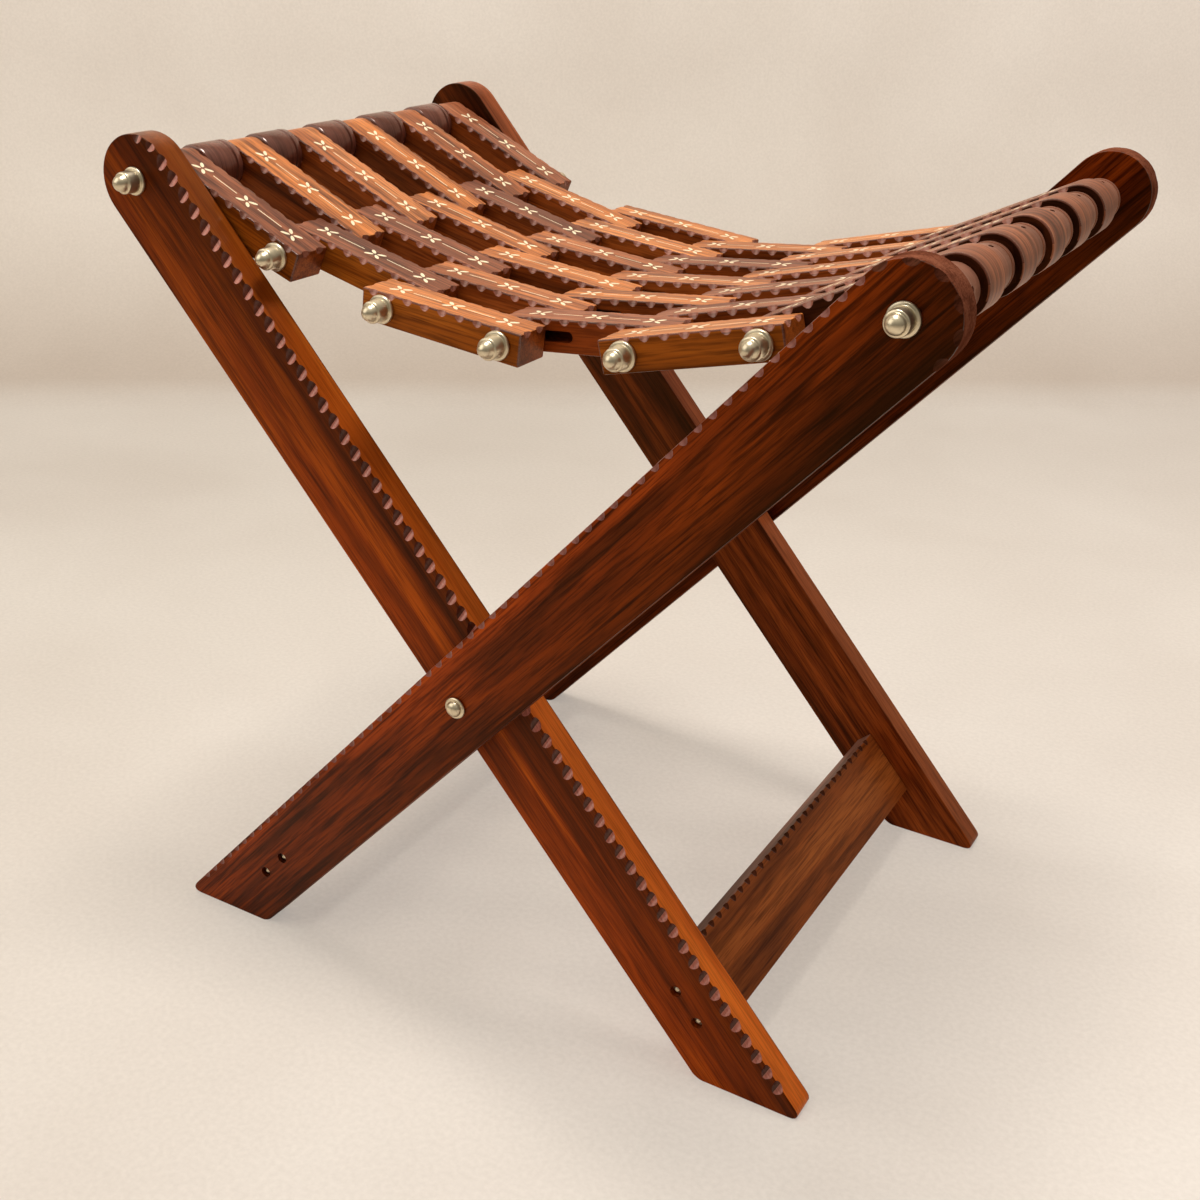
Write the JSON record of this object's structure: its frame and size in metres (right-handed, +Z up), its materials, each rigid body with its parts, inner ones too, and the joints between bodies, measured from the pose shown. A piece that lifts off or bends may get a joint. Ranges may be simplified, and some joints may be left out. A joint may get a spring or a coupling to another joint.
{
  "type": "folding stool",
  "caption": "Folding stool of dark carved wood: crossed plank frames on pivot bolts carry a sagging seat of short slats hinged end to end on rods with domed brass nuts.",
  "frame": {"origin": "on the floor, below the middle of the pivot axis", "axes": "+X to the stool's right, across the rods; +Y to its rear, along the rods; +Z up"},
  "size_m": [0.469, 0.3718, 0.4515],
  "materials": {
    "leg_wood": "gloss",
    "stretcher_wood": "satin",
    "dark_slat_wood": "satin",
    "light_slat_wood": "satin",
    "left_spacer_wood": "satin",
    "right_spacer_wood": "satin",
    "brass": "polished"
  },
  "bodies": {
    "right_frame": {"leg_front_right": "leg_wood", "leg_rear_right": "leg_wood", "stretcher_right": "stretcher_wood", "pivot_bolt_front": "brass", "pivot_bolt_rear": "brass", "top_rod_right": "brass", "right_spacer_1": "right_spacer_wood", "right_spacer_2": "right_spacer_wood", "right_spacer_3": "right_spacer_wood", "right_spacer_4": "right_spacer_wood", "right_spacer_5": "right_spacer_wood", "right_spacer_6": "right_spacer_wood"},
    "left_frame": {"leg_front_left": "leg_wood", "leg_rear_left": "leg_wood", "stretcher_left": "stretcher_wood", "top_rod_left": "brass", "left_spacer_1": "left_spacer_wood", "left_spacer_2": "left_spacer_wood", "left_spacer_3": "left_spacer_wood", "left_spacer_4": "left_spacer_wood", "left_spacer_5": "left_spacer_wood"},
    "row_1": {"row_1_slat_1": "light_slat_wood", "row_1_slat_2": "dark_slat_wood", "row_1_slat_3": "light_slat_wood", "row_1_slat_4": "dark_slat_wood", "row_1_slat_5": "light_slat_wood", "row_1_slat_6": "dark_slat_wood", "seat_rod_1": "brass"},
    "row_2": {"row_2_slat_1": "dark_slat_wood", "row_2_slat_2": "light_slat_wood", "row_2_slat_3": "dark_slat_wood", "row_2_slat_4": "light_slat_wood", "row_2_slat_5": "dark_slat_wood"},
    "row_3": {"row_3_slat_1": "light_slat_wood", "row_3_slat_2": "dark_slat_wood", "row_3_slat_3": "light_slat_wood", "row_3_slat_4": "dark_slat_wood", "row_3_slat_5": "light_slat_wood", "row_3_slat_6": "dark_slat_wood", "seat_rod_2": "brass", "seat_rod_3": "brass"},
    "row_4": {"row_4_slat_1": "dark_slat_wood", "row_4_slat_2": "light_slat_wood", "row_4_slat_3": "dark_slat_wood", "row_4_slat_4": "light_slat_wood", "row_4_slat_5": "dark_slat_wood"},
    "row_5": {"row_5_slat_1": "light_slat_wood", "row_5_slat_2": "dark_slat_wood", "row_5_slat_3": "light_slat_wood", "row_5_slat_4": "dark_slat_wood", "row_5_slat_5": "light_slat_wood", "row_5_slat_6": "dark_slat_wood", "seat_rod_4": "brass", "seat_rod_5": "brass"},
    "row_6": {"row_6_slat_1": "dark_slat_wood", "row_6_slat_2": "light_slat_wood", "row_6_slat_3": "dark_slat_wood", "row_6_slat_4": "light_slat_wood", "row_6_slat_5": "dark_slat_wood"}
  },
  "joints": [
    {"name": "fold", "type": "hinge", "parent": "right_frame", "child": "left_frame", "pos_m": [0, 0, 0.192], "axis": [0, 1, 0], "range_deg": [0, 70]},
    {"name": "hinge_row_1", "type": "hinge", "parent": "left_frame", "child": "row_1", "pos_m": [-0.21129, 0, 0.42832], "axis": [0, 1, 0], "range_deg": [0, 2.9]},
    {"name": "hinge_row_2", "type": "hinge", "parent": "row_1", "child": "row_2", "pos_m": [-0.13562, 0, 0.39672], "axis": [0, 1, 0], "range_deg": [-48.8, 0]},
    {"name": "hinge_row_3", "type": "hinge", "parent": "row_2", "child": "row_3", "pos_m": [-0.06867, 0, 0.38003], "axis": [0, 1, 0], "range_deg": [0, 148.8]},
    {"name": "hinge_row_6", "type": "hinge", "parent": "right_frame", "child": "row_6", "pos_m": [0.21129, 0, 0.42832], "axis": [0, 1, 0], "range_deg": [-84.1, 0]},
    {"name": "hinge_row_5", "type": "hinge", "parent": "row_6", "child": "row_5", "pos_m": [0.13562, 0, 0.39672], "axis": [0, 1, 0], "range_deg": [0, 59.6]},
    {"name": "hinge_row_4", "type": "hinge", "parent": "row_5", "child": "row_4", "pos_m": [0.06867, 0, 0.38003], "axis": [0, 1, 0], "range_deg": [0, 65.8]}
  ],
  "couplings": [
    {"joint": "hinge_row_1", "follows": "fold", "ratio": 0.0413},
    {"joint": "hinge_row_2", "follows": "fold", "ratio": -0.6963},
    {"joint": "hinge_row_3", "follows": "fold", "ratio": 2.1245},
    {"joint": "hinge_row_6", "follows": "fold", "ratio": -1.2008},
    {"joint": "hinge_row_5", "follows": "fold", "ratio": 0.8501},
    {"joint": "hinge_row_4", "follows": "fold", "ratio": 0.9395}
  ]
}
